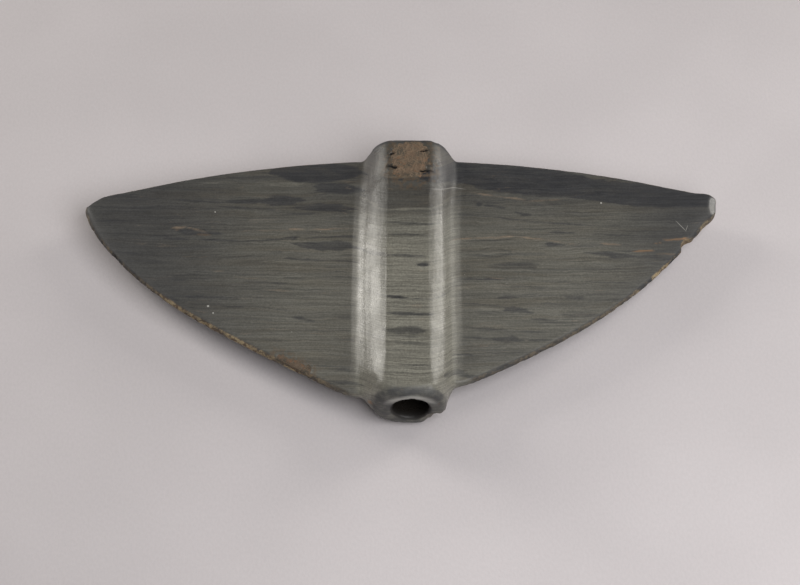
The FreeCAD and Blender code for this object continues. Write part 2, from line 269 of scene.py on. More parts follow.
# The shoulders beside the barrel's flat are ground nearly straight
SHOULDER_RISE = 6.4
SHOULDER_START = 4.5
STRAIGHTENED = 0.6
run_share = np.clip((across - SHOULDER_START) / (BARREL_HALF - SHOULDER_START), 0.0, 1.0)
bulge = (np.cos(math.pi * run_share) - 1.0) / 2.0 + run_share
bulge *= STRAIGHTENED * SHOULDER_RISE * (1.0 - ease(np.abs(points[:, 1]), 29.0, 41.5))
front_or_back = np.clip((points[:, 2] - BORE_HEIGHT) / 3.0, -1.0, 1.0)
points[:, 2] -= np.where(in_bore, 0.0, bulge * front_or_back)


def shift_near(points, x, y, reach, right, up=0.0):
    """Moves the points round a place to the right and up, most of all in its middle."""
    apart = ((points[:, 0] - x) ** 2 + (points[:, 1] - y) ** 2) / reach ** 2
    share = np.clip(1.0 - apart, 0.0, 1.0) ** 2
    points[:, 0] += right * share
    points[:, 1] += up * share


# The right tip's corners stand out: place of each, how far it reaches, and how far it goes
# to the right and up
TIP_CORNERS = (
    (88.2, 24.8, 6.0, 0.4, 1.3),
    (88.6, 20.6, 5.0, 1.1, 0.0),
)
for corner in TIP_CORNERS:
    shift_near(points, *corner)

# The right wing's tip is ground to a small facet along its outline
FACET_TILT = math.radians(27.0)
FACET_TURN = math.radians(-6.0)
FACET_EDGE = (88.2, 22.4)
ABOVE_STONE = 40.0
DOWN = Vector((0, 0, -1))
facet_edge, _, _, _ = skin_tree.ray_cast(Vector((*FACET_EDGE, ABOVE_STONE)), DOWN)
facing = np.array((
    math.sin(FACET_TILT) * math.cos(FACET_TURN),
    math.sin(FACET_TILT) * math.sin(FACET_TURN),
    math.cos(FACET_TILT),
))
proud = np.maximum((points - np.array(facet_edge)) @ facing, 0.0)
at_tip = ease(points[:, 1], 16.0, 17.5) * (points[:, 0] > 80.0)
points -= facing * (proud * at_tip)[:, None]
faceted = at_tip * ease(proud, 0.02, 0.25)

# The left wing's tip is rubbed off at a slant
SLANT_START = np.array((-84.8, 27.4, 0.0))
SLANT_END = np.array((-89.6, 23.3, 0.0))
slant = SLANT_END - SLANT_START
outward = np.array((slant[1], -slant[0], 0.0)) / np.linalg.norm(slant)
beyond = np.maximum((points - SLANT_START) @ outward, 0.0) * (points[:, 0] < -75.0)
points -= outward * beyond[:, None]

# The lower end is worn to a low dome round the mouth
DOME_START = 6.4
DOME_CURVE = 0.16
DOME_DEPTH = 2.2
from_lip = np.maximum(bore_distance - DOME_START, 0.0)
dome = np.minimum(DOME_CURVE * from_lip ** 2, DOME_DEPTH)
dome *= 1.0 - ease(bore_distance, 12.0, 18.0)
points[:, 1] += dome * ease(-points[:, 1], 33.0, 41.8)

# It is worn narrower too: place of each worn corner, how far the wear reaches, and how
# far it goes to the right
WORN_CORNERS = (
    (-11.0, -40.5, 8.0, 1.5),
    (13.5, -40.5, 7.0, -0.9),
)
for corner in WORN_CORNERS:
    shift_near(points, *corner)

# The barrel's flat widens a little towards both ends, its upper end leans to the right and
# its right shoulder is the narrower one
FLARE = 1.5
FLARE_REACH = 14.0
LEAN = 0.7
NARROWED = 0.9
FLARED_IN_MIDDLE = 0.8


def lean(points):
    """How far the barrel's surface is shifted to the right at each point."""
    away = points[:, 0] - BARREL_MIDDLE
    flared = FLARE * np.sin(math.pi * np.clip(away / FLARE_REACH, -1.0, 1.0))
    leaned = LEAN * (1.0 - ease(np.abs(away), BARREL_HALF, BARREL_HALF + 5.0))
    narrowed = NARROWED * ease(away, 8.0, 13.0) * (1.0 - ease(away, 13.5, 19.5))
    narrowed *= 1.0 - ease(points[:, 1], 22.0, 36.0)
    towards_end = ease(np.abs(points[:, 1]), 8.0, 40.0)
    flared *= FLARED_IN_MIDDLE + (1.0 - FLARED_IN_MIDDLE) * towards_end
    return flared + leaned * ease(points[:, 1], 5.0, 40.0) - narrowed


points[:, 0] += lean(points) * ease(bore_distance, BORE_RADIUS + 1.0, BORE_RADIUS + 3.0)
points[:, 2] = np.maximum(points[:, 2], 0.0)
move_points(stone_skin, points)
shade_smooth(stone_skin)

# What the slate's looks are read from: each point's share of the rims, the breaks and so on
wing_only = ease(across, 16.0, 19.0)
worn_rim = ease(1.0 - np.abs(normals[:, 2]), 0.04, 0.25) * wing_only
# The wings' rounded rims, for their duller gloss and their painted shade
dull_shaded_edge = ease(1.0 - np.abs(normals[:, 2]), 0.008, 0.12) * wing_only
store(stone_skin, "rim", worn_rim * (1.0 - faceted))
store(stone_skin, "edge", dull_shaded_edge * (1.0 - faceted))
store(stone_skin, "broken", np.maximum(in_notch, in_chip))
store(stone_skin, "pit", pitted)
store(stone_skin, "soiled", soiled)
store(stone_skin, "ends", ease(np.abs(points[:, 1]), 39.8, 41.0))
store(stone_skin, "bore", 1.0 - ease(bore_distance, BORE_RADIUS + 0.3, BORE_RADIUS + 0.9))
# A painted highlight: a pale ring on the upper side of each mouth, where the rounded lip catches
# the light
LIP_HIGHLIGHT_PLACE = 1.5
painted_lip_highlight = at_end * (1.0 - ease(np.abs(bore_distance - BORE_RADIUS - LIP_HIGHLIGHT_PLACE), 0.2, 1.0))
painted_lip_highlight *= ease(points[:, 2] - BORE_HEIGHT, 2.0, 5.0)
store(stone_skin, "lip_highlight", painted_lip_highlight)
from_middle = points[:, 0] - BARREL_MIDDLE
dulled = 0.95 * ease(from_middle, 9.5, 12.5) + 0.7 * ease(-from_middle, 12.5, 15.0)
store(stone_skin, "polish", np.maximum(on_barrel * (1.0 - dulled), faceted))
store(stone_skin, "barrel", on_barrel)

# The beds climb by this much for each millimetre that they run back from the face
BED_CLIMB = 1.085

# Lenses of other stone in the beds: place across, height in the bedding above the wings'
# middle plane, half length, half thickness, slope and strength
DARK_LENSES = (
    (-24.5, 36.9, 14.5, 3.6, 0.00, 0.97),
    (-18.6, 31.4, 8.3, 1.78, -0.07, 0.9),
    (-43.8, 34.0, 6.4, 0.36, 0.04, 0.6),
    (-33.8, 27.4, 7.2, 1.78, 0.01, 0.85),
    (-43.4, 27.2, 6.4, 0.89, 0.07, 0.8),
    (-53.8, 27.7, 7.0, 0.36, -0.07, 0.55),
    (-20.4, 24.6, 9.3, 1.37, -0.02, 0.85),
    (-44.5, 24.8, 10.4, 0.24, -0.08, 0.8),
    (-28.7, 22.6, 6.6, 0.24, 0.05, 0.8),
    (-15.7, 23.0, 5.3, 0.24, 0.06, 0.7),
    (-57.3, 16.2, 7.2, 0.77, -0.10, 0.85),
    (-63.2, 14.0, 4.3, 0.42, -0.10, 0.8),
    (-67.7, 15.1, 4.7, 0.27, 0.06, 0.7),
    (-51.5, 13.4, 8.4, 0.30, -0.04, 0.9),
    (-37.9, 13.7, 7.3, 0.30, 0.08, 0.9),
    (-30.7, 14.7, 3.2, 0.59, 0.15, 0.9),
    (-19.2, 15.2, 9.2, 0.24, 0.05, 0.8),
    (-20.0, 12.1, 10.1, 1.63, -0.04, 0.85),
    (-35.1, 9.3, 2.9, 0.24, 0.06, 0.7),
    (-26.6, 7.4, 5.7, 0.48, -0.07, 0.85),
    (-16.4, 6.9, 6.3, 0.24, -0.03, 0.7),
    (-78.0, 9.2, 4.8, 0.48, -0.10, 0.5),
    (-44.7, 2.3, 12.0, 0.21, -0.01, 0.6),
    (-29.0, 1.0, 3.9, 0.21, -0.01, 0.6),
    (-36.4, -0.6, 7.8, 0.36, -0.03, 0.6),
    (-61.4, 0.1, 3.2, 0.30, -0.10, 0.7),
    (-53.4, -5.9, 9.3, 0.36, -0.02, 0.8),
    (-63.9, -6.6, 3.3, 0.65, -0.25, 0.7),
    (-45.9, -9.0, 5.4, 0.27, -0.02, 0.8),
    (-35.2, -9.5, 6.2, 0.18, -0.08, 0.6),
    (-25.6, -13.0, 3.7, 0.48, -0.20, 0.8),
    (-35.5, -20.0, 7.4, 0.30, -0.08, 0.4),
    (-15.4, -29.3, 4.5, 0.48, -0.04, 0.7),
    (-14.9, -33.3, 5.0, 0.59, -0.06, 0.7),
    (-81.8, 20.2, 6.9, 0.42, -0.02, 0.5),
    (-77.7, 27.0, 7.2, 0.42, 0.07, 0.5),
    (-67.6, 24.5, 8.3, 0.30, -0.03, 0.5),
    (-70.3, 6.1, 8.2, 0.30, -0.02, 0.4),
    (33.4, 34.6, 30.0, 5.3, -0.15, 0.97),
    (64.5, 29.6, 31.0, 3.9, -0.10, 0.95),
    (22.4, 25.9, 1.7, 0.42, -0.41, 0.8),
    (26.9, 25.1, 2.6, 0.42, -0.21, 0.8),
    (34.5, 22.7, 2.4, 0.48, -0.28, 0.85),
    (41.3, 25.8, 5.0, 0.36, 0.01, 0.7),
    (21.3, 22.2, 5.8, 0.24, -0.08, 0.85),
    (31.0, 20.9, 5.3, 0.27, -0.17, 0.85),
    (44.9, 19.3, 10.3, 0.27, -0.07, 0.85),
    (61.0, 18.4, 7.6, 0.18, -0.02, 0.6),
    (44.5, 16.2, 4.7, 0.36, -0.03, 0.85),
    (59.6, 15.4, 6.3, 0.27, -0.05, 0.7),
    (24.8, 14.0, 7.1, 0.27, 0.04, 0.6),
    (43.1, 12.1, 2.9, 0.71, -0.05, 0.85),
    (50.4, 11.7, 5.0, 0.27, -0.05, 0.6),
    (24.9, 11.2, 2.7, 0.18, 0.30, 0.6),
    (30.0, 10.3, 1.9, 0.30, -0.30, 0.6),
    (27.7, 8.5, 3.2, 0.24, 0.13, 0.6),
    (22.9, 8.6, 7.8, 0.24, -0.10, 0.7),
    (59.2, 8.5, 7.3, 0.89, -0.10, 0.8),
    (71.5, 7.0, 7.1, 0.36, -0.13, 0.7),
    (31.7, 4.7, 7.5, 1.19, -0.04, 0.45),
    (22.2, 0.7, 8.3, 0.27, -0.02, 0.9),
    (44.5, -0.7, 8.0, 0.18, -0.07, 0.6),
    (35.3, -2.0, 5.4, 0.24, -0.11, 0.7),
    (16.9, -1.2, 3.7, 0.15, -0.12, 0.6),
    (29.3, -5.5, 3.6, 0.36, -0.03, 0.7),
    (47.8, -6.1, 4.1, 0.42, -0.10, 0.6),
    (21.6, -7.7, 6.7, 0.27, -0.09, 0.7),
    (31.5, -9.7, 4.7, 0.77, -0.24, 0.8),
    (23.7, -10.1, 4.4, 0.24, 0.02, 0.6),
    (38.8, -13.0, 3.9, 0.30, -0.12, 0.7),
    (49.3, -11.7, 5.9, 0.65, -0.01, 0.6),
    (21.9, -15.6, 9.2, 0.27, -0.07, 0.7),
    (34.2, -16.5, 4.1, 0.18, -0.10, 0.6),
    (20.7, -19.0, 4.8, 0.36, -0.09, 0.7),
    (29.6, -19.6, 5.3, 1.01, -0.05, 0.75),
    (39.0, -19.8, 3.3, 0.36, 0.02, 0.6),
    (18.0, -24.3, 4.1, 0.36, -0.10, 0.7),
    (27.6, -25.5, 6.3, 0.18, -0.11, 0.6),
    (16.7, -30.7, 5.9, 1.07, -0.48, 0.6),
    (2.6, 31.9, 9.5, 5.0, -0.03, 0.08),
    (2.1, 22.1, 7.1, 0.33, -0.07, 0.68),
    (2.3, 18.4, 6.9, 0.33, -0.03, 0.68),
    (-6.8, 11.8, 3.5, 0.66, 0.08, 0.68),
    (2.0, 11.7, 6.6, 0.40, -0.05, 0.94),
    (6.4, 8.6, 2.6, 0.59, -0.11, 0.94),
    (-0.4, -2.3, 4.5, 0.40, -0.12, 0.95),
    (-8.1, -1.5, 3.9, 0.26, -0.07, 0.81),
    (5.9, -3.1, 2.8, 0.20, -0.10, 0.94),
    (11.4, -2.6, 3.3, 0.20, 0.21, 0.81),
    (2.2, -7.8, 6.7, 0.73, -0.05, 0.81),
    (1.5, -13.2, 6.8, 1.19, -0.03, 0.61),
    (-6.6, -15.5, 5.1, 0.20, 0.12, 0.81),
    (3.2, -15.2, 5.6, 0.20, -0.06, 0.81),
    (1.7, -17.1, 6.6, 0.26, -0.03, 0.54),
    (4.2, -23.9, 3.9, 0.17, -0.06, 0.81),
    (1.6, 37.0, 6.6, 0.33, -0.03, 0.68),
)
TAN_LAMINAE = (
    (-63.0, 18.0, 2.6, 0.2, 0.09, 1.0),
    (-58.0, 17.1, 3.9, 0.17, -0.31, 1.0),
    (-28.8, 17.4, 2.6, 0.3, -0.02, 1.0),
    (-21.0, 17.7, 5.8, 0.2, 0.03, 0.84),
    (-39.0, 16.9, 8.4, 0.13, 0.02, 0.56),
    (-34.4, -3.2, 4.1, 0.13, -0.03, 0.84),
    (-40.0, 0.8, 3.9, 0.13, -0.07, 0.7),
    (-51.2, 3.1, 1.8, 0.13, -0.07, 0.7),
    (24.4, 29.2, 4.8, 0.2, -0.16, 0.7),
    (32.5, 27.7, 4.6, 0.2, -0.20, 0.84),
    (40.9, 27.0, 5.1, 0.2, 0.06, 0.56),
    (17.2, 14.5, 2.6, 0.26, 0.04, 1.0),
    (26.0, 14.9, 7.3, 0.17, 0.03, 0.84),
    (36.7, 14.4, 4.7, 0.2, -0.13, 1.0),
    (44.8, 13.0, 4.3, 0.13, -0.22, 0.98),
    (59.1, 12.1, 3.9, 0.17, -0.08, 1.0),
    (25.9, 0.9, 3.9, 0.13, -0.08, 0.42),
    (2.1, 38.1, 6.8, 0.36, 0.03, 0.35),
)
PALE_LAMINAE = (
    (-8.8, 27.7, 2.9, 0.46, -0.35, 0.7),
    (1.5, 26.7, 8.4, 0.46, 0.00, 0.6),
    (12.2, 28.0, 3.4, 0.46, 0.36, 0.6),
    (2.3, 13.7, 6.9, 0.33, -0.09, 0.3),
    (2.2, 5.8, 6.8, 0.53, -0.04, 0.3),
    (-48.0, 33.7, 10.5, 0.30, 0.08, 0.25),
    (-32.3, 32.8, 6.4, 0.65, 0.01, 0.35),
    (-25.9, 7.3, 12.7, 0.89, 0.08, 0.25),
    (19.8, 12.0, 6.6, 0.59, -0.06, 0.2),
    (30.7, -2.9, 17.6, 1.19, -0.08, 0.25),
    (20.6, -8.8, 6.7, 0.30, -0.10, 0.4),
    (20.9, -17.2, 7.1, 0.30, -0.07, 0.35),
)
IRON_VEINS = (
    (78.3, 13.5, 4.0, 0.14, 0.05, 0.9),
    (81.7, 13.6, 1.0, 0.38, 0.14, 0.9),
    (71.6, 12.2, 0.6, 0.12, -0.53, 0.63),
    (72.6, 12.4, 0.6, 0.12, -0.36, 0.63),
    (68.4, 9.7, 3.2, 0.22, 0.03, 0.77),
    (74.8, 8.3, 3.2, 0.14, -0.06, 0.54),
    (-55.2, 15.3, 1.9, 0.16, -0.20, 0.36),
    (-64.1, 17.3, 0.8, 0.16, 0.29, 0.36),
)


def in_lenses(bedding, lenses):
    """The share of each point's own small square that the lenses cover."""
    covered = np.zeros(len(bedding))
    spots = np.stack([bedding[:, 0], bedding[:, 1], bedding[:, 1]], 1)
    uneven = ripple(spots, (3.5, 1.6, 9), 3.9)
    for x, height, half_length, half_thickness, slope, strength in lenses:
        turn = math.atan(slope)
        run, rise = bedding[:, 0] - x, bedding[:, 1] - height
        along = np.abs(run * math.cos(turn) + rise * math.sin(turn)) / half_length
        aside = np.abs(rise * math.cos(turn) - run * math.sin(turn))
        taper = np.clip(1.0 - along ** 2, 0.0, 1.0) ** 0.8
        thickness = (half_thickness + min(0.9 * half_thickness, 0.6) * uneven) * taper
        inner = np.clip((thickness - aside) / SKIN_GRID + 0.5, 0.0, 1.0)
        outer = np.clip((-thickness - aside) / SKIN_GRID + 0.5, 0.0, 1.0)
        covered = np.maximum(covered, strength * (inner - outer))
    return covered


# The beds swell and drift a little, and their edges are slightly ragged
bed_height = points[:, 1] + BED_CLIMB * (points[:, 2] - BORE_HEIGHT)
beds = np.stack([points[:, 0], bed_height, points[:, 2]], 1)
bed_wave = 0.45 * ripple(beds, (36, 12, 34), 4.4) + 0.22 * ripple(beds, (10, 3, 9), 6.2)
bed_wave += 0.2 * ripple(beds, (2.2, 0.8, 2.2), 8.8)
bed_drift = 2.4 * ripple(beds, (12, 1.0, 12), 2.7)
bedding = np.stack([points[:, 0] + bed_drift, bed_height + bed_wave], 1)
on_front = ease(points[:, 2], BORE_HEIGHT - 0.8, BORE_HEIGHT + 0.2)
store(stone_skin, "dark", in_lenses(bedding, DARK_LENSES))
store(stone_skin, "tan", in_lenses(bedding, TAN_LAMINAE))
store(stone_skin, "pale", in_lenses(bedding, PALE_LAMINAE))
# Two spots of rust at the lower mouth: place and radius
RUST_SPOTS = (
    (-2.5, -41.6, 9.8, 0.7),
    (-8.3, -40.4, 9.6, 1.2),
)
iron = in_lenses(bedding, IRON_VEINS) * on_front
for *spot, radius in RUST_SPOTS:
    away = np.linalg.norm(points - np.array(spot), axis=1)
    iron = np.maximum(iron, 1.0 - ease(away, 0.4 * radius, radius))
store(stone_skin, "iron", iron)


def node(tree, kind, sockets=None, **settings):
    """A shader node with its sockets filled by values or by other nodes' outputs."""
    made = tree.nodes.new("ShaderNode" + kind)
    for name, setting in settings.items():
        setattr(made, name, setting)
    for socket, source in (sockets or {}).items():
        if isinstance(source, bpy.types.NodeSocket):
            tree.links.new(source, made.inputs[socket])
        else:
            made.inputs[socket].default_value = source
    return made


def calc(tree, operation, first, second=0.0, third=0.0):
    made = node(tree, "Math", {0: first, 1: second, 2: third}, operation=operation)
    return made.outputs[0]


def times(tree, first, second):
    return calc(tree, "MULTIPLY", first, second)


def plus(tree, first, second):
    return calc(tree, "ADD", first, second)


def remap(tree, amount, low, high, to_low=0.0, to_high=1.0):
    """A smooth step from one range to another."""
    made = node(
        tree, "MapRange",
        {"Value": amount, "From Min": low, "From Max": high, "To Min": to_low, "To Max": to_high},
        interpolation_type="SMOOTHSTEP",
    )
    return made.outputs["Result"]


def grain(tree, place, lengths, detail=3.0, roughness=0.55, shift=0.0):
    """Random noise with waves of those lengths, in millimetres."""
    scaled = node(
        tree, "Mapping",
        {
            "Vector": place,
            "Location": (shift, shift, shift),
            "Scale": tuple(1.0 / length for length in lengths),
        },
    )
    made = node(
        tree, "TexNoise",
        {"Vector": scaled.outputs[0], "Scale": 1.0, "Detail": detail, "Roughness": roughness},
    )
    return made.outputs["Fac"]


def blend_colour(tree, amount, under, over, mode="MIX"):
    made = node(tree, "Mix", {}, data_type="RGBA", blend_type=mode)
    for socket, source in ((0, amount), (6, under), (7, over)):
        if isinstance(source, bpy.types.NodeSocket):
            tree.links.new(source, made.inputs[socket])
        elif socket == 0:
            made.inputs[socket].default_value = source
        else:
            made.inputs[socket].default_value = (*source, 1.0)
    return made.outputs[2]


def new_material(name):
    """A material with its shader, and the place on the piece in millimetres."""
    material = bpy.data.materials.new(name)
    material.use_nodes = True
    tree = material.node_tree
    tree.nodes.clear()
    shader = tree.nodes.new("ShaderNodeBsdfPrincipled")
    output = tree.nodes.new("ShaderNodeOutputMaterial")
    tree.links.new(shader.outputs[0], output.inputs["Surface"])
    place = node(tree, "Mapping", {
        "Vector": tree.nodes.new("ShaderNodeTexCoord").outputs["Object"],
        "Scale": (1 / MM, 1 / MM, 1 / MM),
    })
    return material, tree, shader, place.outputs[0]


def attribute(tree, name):
    """A number that was kept for each point of the skin."""
    return node(tree, "Attribute", attribute_name=name).outputs["Fac"]


# Colours of the slate, as light that it gives back
SLATE = (0.078, 0.075, 0.066)
SLATE_PALE = (0.152, 0.147, 0.122)
SLATE_OLIVE = (0.084, 0.073, 0.054)
SLATE_BLUE = (0.029, 0.030, 0.034)
SLATE_MILKY_SHEEN = (0.205, 0.198, 0.165)
LAMINA_PALE = (0.21, 0.20, 0.165)
LAMINA_TAN = (0.24, 0.18, 0.125)
IRON_ORANGE = (0.27, 0.155, 0.075)
IRON_BROWN = (0.12, 0.082, 0.05)
OCHRE = (0.34, 0.27, 0.16)
CHALK_WHITE = (0.42, 0.41, 0.38)
# Near-black painted shade, for the bore and the pits
RECESS_SHADE = (0.009, 0.007, 0.006)

# Specks: place across, height in the bedding and radius. Scratches: the same place, half
# length, half thickness and slope
CHALK_SPECKS = (
    (-53.1, -8.8, 0.3),
    (-51.6, -11.1, 0.22),
    (-52.8, 23.2, 0.2),
    (57.2, 26.3, 0.25),
)
SCRATCH_STRENGTH = 0.5
SCRATCHES = (
    (13.3, 32.6, 5.2, 0.12, -0.27),
    (79.4, 18.2, 2.2, 0.1, -1.38),
    (81.0, 17.4, 1.1, 0.08, 2.9),
)


def mark_cover(tree, beds, mark):
    """1 inside a small long mark, fading to 0 at its edge."""
    x, height, half_length, half_thickness, slope = mark
    local = node(tree, "Mapping", {
        "Vector": beds,
        "Location": (x, height, 0.0),
        "Rotation": (0.0, 0.0, math.atan(slope)),
        "Scale": (half_length, half_thickness, 400.0),
    }, vector_type="TEXTURE")
    away = node(tree, "VectorMath", {0: local.outputs[0]}, operation="LENGTH")
    return remap(tree, away.outputs["Value"], 1.3, 0.7)


def make_slate():
    material, tree, shader, place = new_material("banded_slate")
    apart = node(tree, "SeparateXYZ", {0: place})
    x, y, z = apart.outputs
    height = calc(tree, "MULTIPLY_ADD", calc(tree, "SUBTRACT", z, BORE_HEIGHT), BED_CLIMB, y)
    beds = node(tree, "CombineXYZ", {0: x, 1: height, 2: z}).outputs[0]

    # The beds wave a little, in long swells, and their edges are slightly ragged
    long_wave = remap(tree, grain(tree, beds, (36, 12, 34), 2.0), 0.2, 0.8, -0.6, 0.6)
    short_wave = remap(tree, grain(tree, beds, (11, 3, 9), 2.0, shift=7.0), 0.2, 0.8, -0.25, 0.25)
    ragged = remap(tree, grain(tree, beds, (2.2, 0.8, 2.2), 3.0, shift=83.0), 0.2, 0.8, -0.16, 0.16)
    drift = remap(tree, grain(tree, beds, (12, 1.2, 12), 2.0, shift=3.0), 0.2, 0.8, -3.0, 3.0)
    waves = plus(tree, short_wave, ragged)
    waved = plus(tree, plus(tree, height, long_wave), waves)
    bedding = node(tree, "CombineXYZ", {0: plus(tree, x, drift), 1: waved, 2: z}).outputs[0]

    broad = remap(tree, grain(tree, bedding, (70, 6, 40), 3.0, shift=11.0), 0.32, 0.68)
    streaks = remap(tree, grain(tree, bedding, (22, 0.9, 16), 2.0, 0.45, shift=19.0), 0.60, 0.65)
    thin_streaks = grain(tree, bedding, (15, 0.4, 10), 2.0, 0.45, shift=23.0)
    thin_streaks = remap(tree, thin_streaks, 0.60, 0.66)
    fine = remap(tree, grain(tree, bedding, (18, 0.3, 8), 4.0, 0.6, shift=29.0), 0.3, 0.7)
    tint = remap(tree, grain(tree, bedding, (30, 2.0, 20), 4.0, shift=31.0), 0.42, 0.64)
    patchy = grain(tree, bedding, (6, 2.5, 6), 4.0, shift=37.0)
    grains = grain(tree, place, (0.55, 0.55, 0.55), 3.0, 0.7, shift=89.0)
    along = grain(tree, place, (0.35, 18, 0.35), 3.0, 0.6, shift=61.0)
    around = grain(tree, place, (16, 0.3, 3), 3.0, 0.6, shift=67.0)

    colour = blend_colour(tree, times(tree, broad, 0.4), SLATE, SLATE_PALE)
    colour = blend_colour(tree, times(tree, tint, 0.55), colour, SLATE_OLIVE)
    colour = blend_colour(tree, times(tree, streaks, 0.48), colour, SLATE_BLUE)
    colour = blend_colour(tree, times(tree, thin_streaks, 0.45), colour, SLATE_BLUE)

    # The lower beds are paler, most of all along the barrel, where the milky paleness is partly
    # painted sheen. The upper ones and those in the wings' tips are darker.
    barrel = attribute(tree, "barrel")
    pale_beds_and_sheen = remap(tree, height, 29.0, 22.0)
    pale_beds_and_sheen = times(tree, pale_beds_and_sheen, remap(tree, fine, 0.0, 1.0, 0.6, 1.0))
    pale = times(tree, pale_beds_and_sheen, remap(tree, barrel, 0.0, 1.0, 0.24, 0.92))
    colour = blend_colour(tree, pale, colour, SLATE_MILKY_SHEEN)
    left_tip = remap(tree, x, -24.0, -76.0, 0.0, 0.74)
    right_tip = remap(tree, x, 48.0, 84.0, 0.0, 0.72)
    upper_beds = remap(tree, height, 12.0, 27.0, 0.0, 0.25)
    gloomy = calc(tree, "MAXIMUM", plus(tree, left_tip, right_tip), upper_beds)
    colour = blend_colour(tree, gloomy, colour, SLATE_BLUE)

    # Thin pale and tan laminae, and faint broken ones between all the beds
    lamina = times(tree, attribute(tree, "pale"), remap(tree, patchy, 0.36, 0.6, 0.5, 1.0))
    colour = blend_colour(tree, lamina, colour, LAMINA_PALE)
    mottled = remap(tree, patchy, 0.3, 0.6, 0.72, 1.0)
    mottled = times(tree, mottled, remap(tree, fine, 0.0, 1.0, 1.0, 0.84))
    dark = times(tree, attribute(tree, "dark"), mottled)
    colour = blend_colour(tree, dark, colour, SLATE_BLUE)
    tan = times(tree, attribute(tree, "tan"), remap(tree, patchy, 0.38, 0.6, 0.3, 1.0))
    seam = calc(tree, "ABSOLUTE", calc(
        tree, "SUBTRACT", grain(tree, bedding, (40, 2.6, 30), 2.0, shift=43.0), 0.5
    ))
    seam = remap(tree, seam, 0.012, 0.0)
    broken_up = grain(tree, bedding, (9, 4, 9), 2.0, shift=47.0)
    seam = times(tree, seam, remap(tree, broken_up, 0.5, 0.7, 0.0, 0.24))
    colour = blend_colour(tree, calc(tree, "MAXIMUM", tan, seam), colour, LAMINA_TAN)

    # The grain of the stone, its finest laminae and the marks of rubbing
    rubbed = plus(tree, times(tree, calc(tree, "SUBTRACT", along, 0.5), barrel), 0.5)
    shade = remap(tree, fine, 0.0, 1.0, 0.85, 1.15)
    shade = times(tree, shade, remap(tree, grains, 0.25, 0.75, 0.82, 1.18))
    shade = times(tree, shade, remap(tree, rubbed, 0.25, 0.75, 0.95, 1.05))
    colour = blend_colour(tree, 1.0, colour, node(
        tree, "CombineColor", {0: shade, 1: shade, 2: shade}
    ).outputs[0], "MULTIPLY")

    # Iron has stained a few veins on the front of the right wing orange
    front_only = remap(tree, z, BORE_HEIGHT - 0.8, BORE_HEIGHT + 0.2)
    iron = times(tree, attribute(tree, "iron"), remap(tree, patchy, 0.35, 0.55, 0.5, 1.0))
    colour = blend_colour(tree, iron, colour, IRON_ORANGE)

    # A few thin scratches
    for scratch in SCRATCHES:
        scored = times(tree, mark_cover(tree, beds, scratch), SCRATCH_STRENGTH)
        colour = blend_colour(tree, times(tree, scored, front_only), colour, CHALK_WHITE)

    # Specks of chalky white
    for speck_x, speck_height, radius in CHALK_SPECKS:
        speck = mark_cover(tree, beds, (speck_x, speck_height, radius, radius, 0.0))
        colour = blend_colour(tree, times(tree, speck, front_only), colour, CHALK_WHITE)
    dots = node(tree, "TexVoronoi", {"Vector": place, "Scale": 0.12}, feature="F1")
    dotted = remap(tree, dots.outputs["Distance"], 0.025, 0.012, 0.0, 0.4)
    colour = blend_colour(tree, dotted, colour, CHALK_WHITE)

    # Earth has stained the rims and the broken places ochre and brown. The rims, the barrel's ends,
    # the bore and the pits also get painted shade, and the mouths' upper lips a painted highlight.
    rim = attribute(tree, "rim")
    broken = attribute(tree, "broken")
    stain = grain(tree, place, (7, 5, 4), 5.0, 0.65, shift=53.0)
    left_low = times(tree, remap(tree, x, -18.0, -32.0), remap(tree, y, -2.0, -10.0))
    notch_low = times(tree, remap(tree, x, 62.0, 70.0), remap(tree, y, 22.0, 12.0))
    stained_rim = calc(tree, "MAXIMUM", left_low, notch_low)
    reach = plus(tree, 0.2, times(tree, stained_rim, 0.78))
    rim_stain = times(tree, rim, reach)
    rim_stain = times(tree, rim_stain, remap(tree, stain, 0.38, 0.52))
    edge = attribute(tree, "edge")
    # Painted shade: the wings' rounded rims are darkened towards blue-black
    colour = blend_colour(tree, times(tree, edge, 0.7), colour, SLATE_BLUE)
    colour = blend_colour(tree, rim_stain, colour, IRON_BROWN)
    crumbs = grain(tree, place, (1.3, 1.3, 1.3), 4.0, 0.6, shift=59.0)
    ochre = times(tree, rim_stain, remap(tree, crumbs, 0.42, 0.56))
    colour = blend_colour(tree, ochre, colour, OCHRE)
    rusty = times(tree, rim_stain, remap(tree, crumbs, 0.6, 0.68))
    colour = blend_colour(tree, rusty, colour, IRON_ORANGE)
    ends = attribute(tree, "ends")
    # Painted shade: the barrel's ends are darkened towards blue-black, mottled by the stain noise
    shaded_ends = times(tree, ends, remap(tree, stain, 0.36, 0.62, 0.35, 0.85))
    colour = blend_colour(tree, shaded_ends, colour, SLATE_BLUE)
    rusty_ends = times(tree, ends, remap(tree, crumbs, 0.62, 0.74, 0.0, 0.3))
    colour = blend_colour(tree, rusty_ends, colour, IRON_ORANGE)
    # The painted highlight on the mouths' upper lips, in chalky white
    lip_highlight = times(tree, attribute(tree, "lip_highlight"), remap(tree, patchy, 0.35, 0.6, 0.5, 0.85))
    colour = blend_colour(tree, lip_highlight, colour, CHALK_WHITE)
    brown_breaks = times(tree, broken, remap(tree, stain, 0.4, 0.6, 0.15, 0.7))
    colour = blend_colour(tree, brown_breaks, colour, IRON_BROWN)
    soiled = times(tree, attribute(tree, "soiled"), remap(tree, crumbs, 0.42, 0.6, 0.0, 0.55))
    colour = blend_colour(tree, soiled, colour, IRON_BROWN)
    # Painted shade: the bore's wall and the pits in the crust's hollow are painted near-black
    shaded_bore = times(tree, attribute(tree, "bore"), 0.97)
    recess_shade = calc(tree, "MAXIMUM", attribute(tree, "pit"), shaded_bore)
    colour = blend_colour(tree, recess_shade, colour, RECESS_SHADE)
    tree.links.new(colour, shader.inputs["Base Color"])

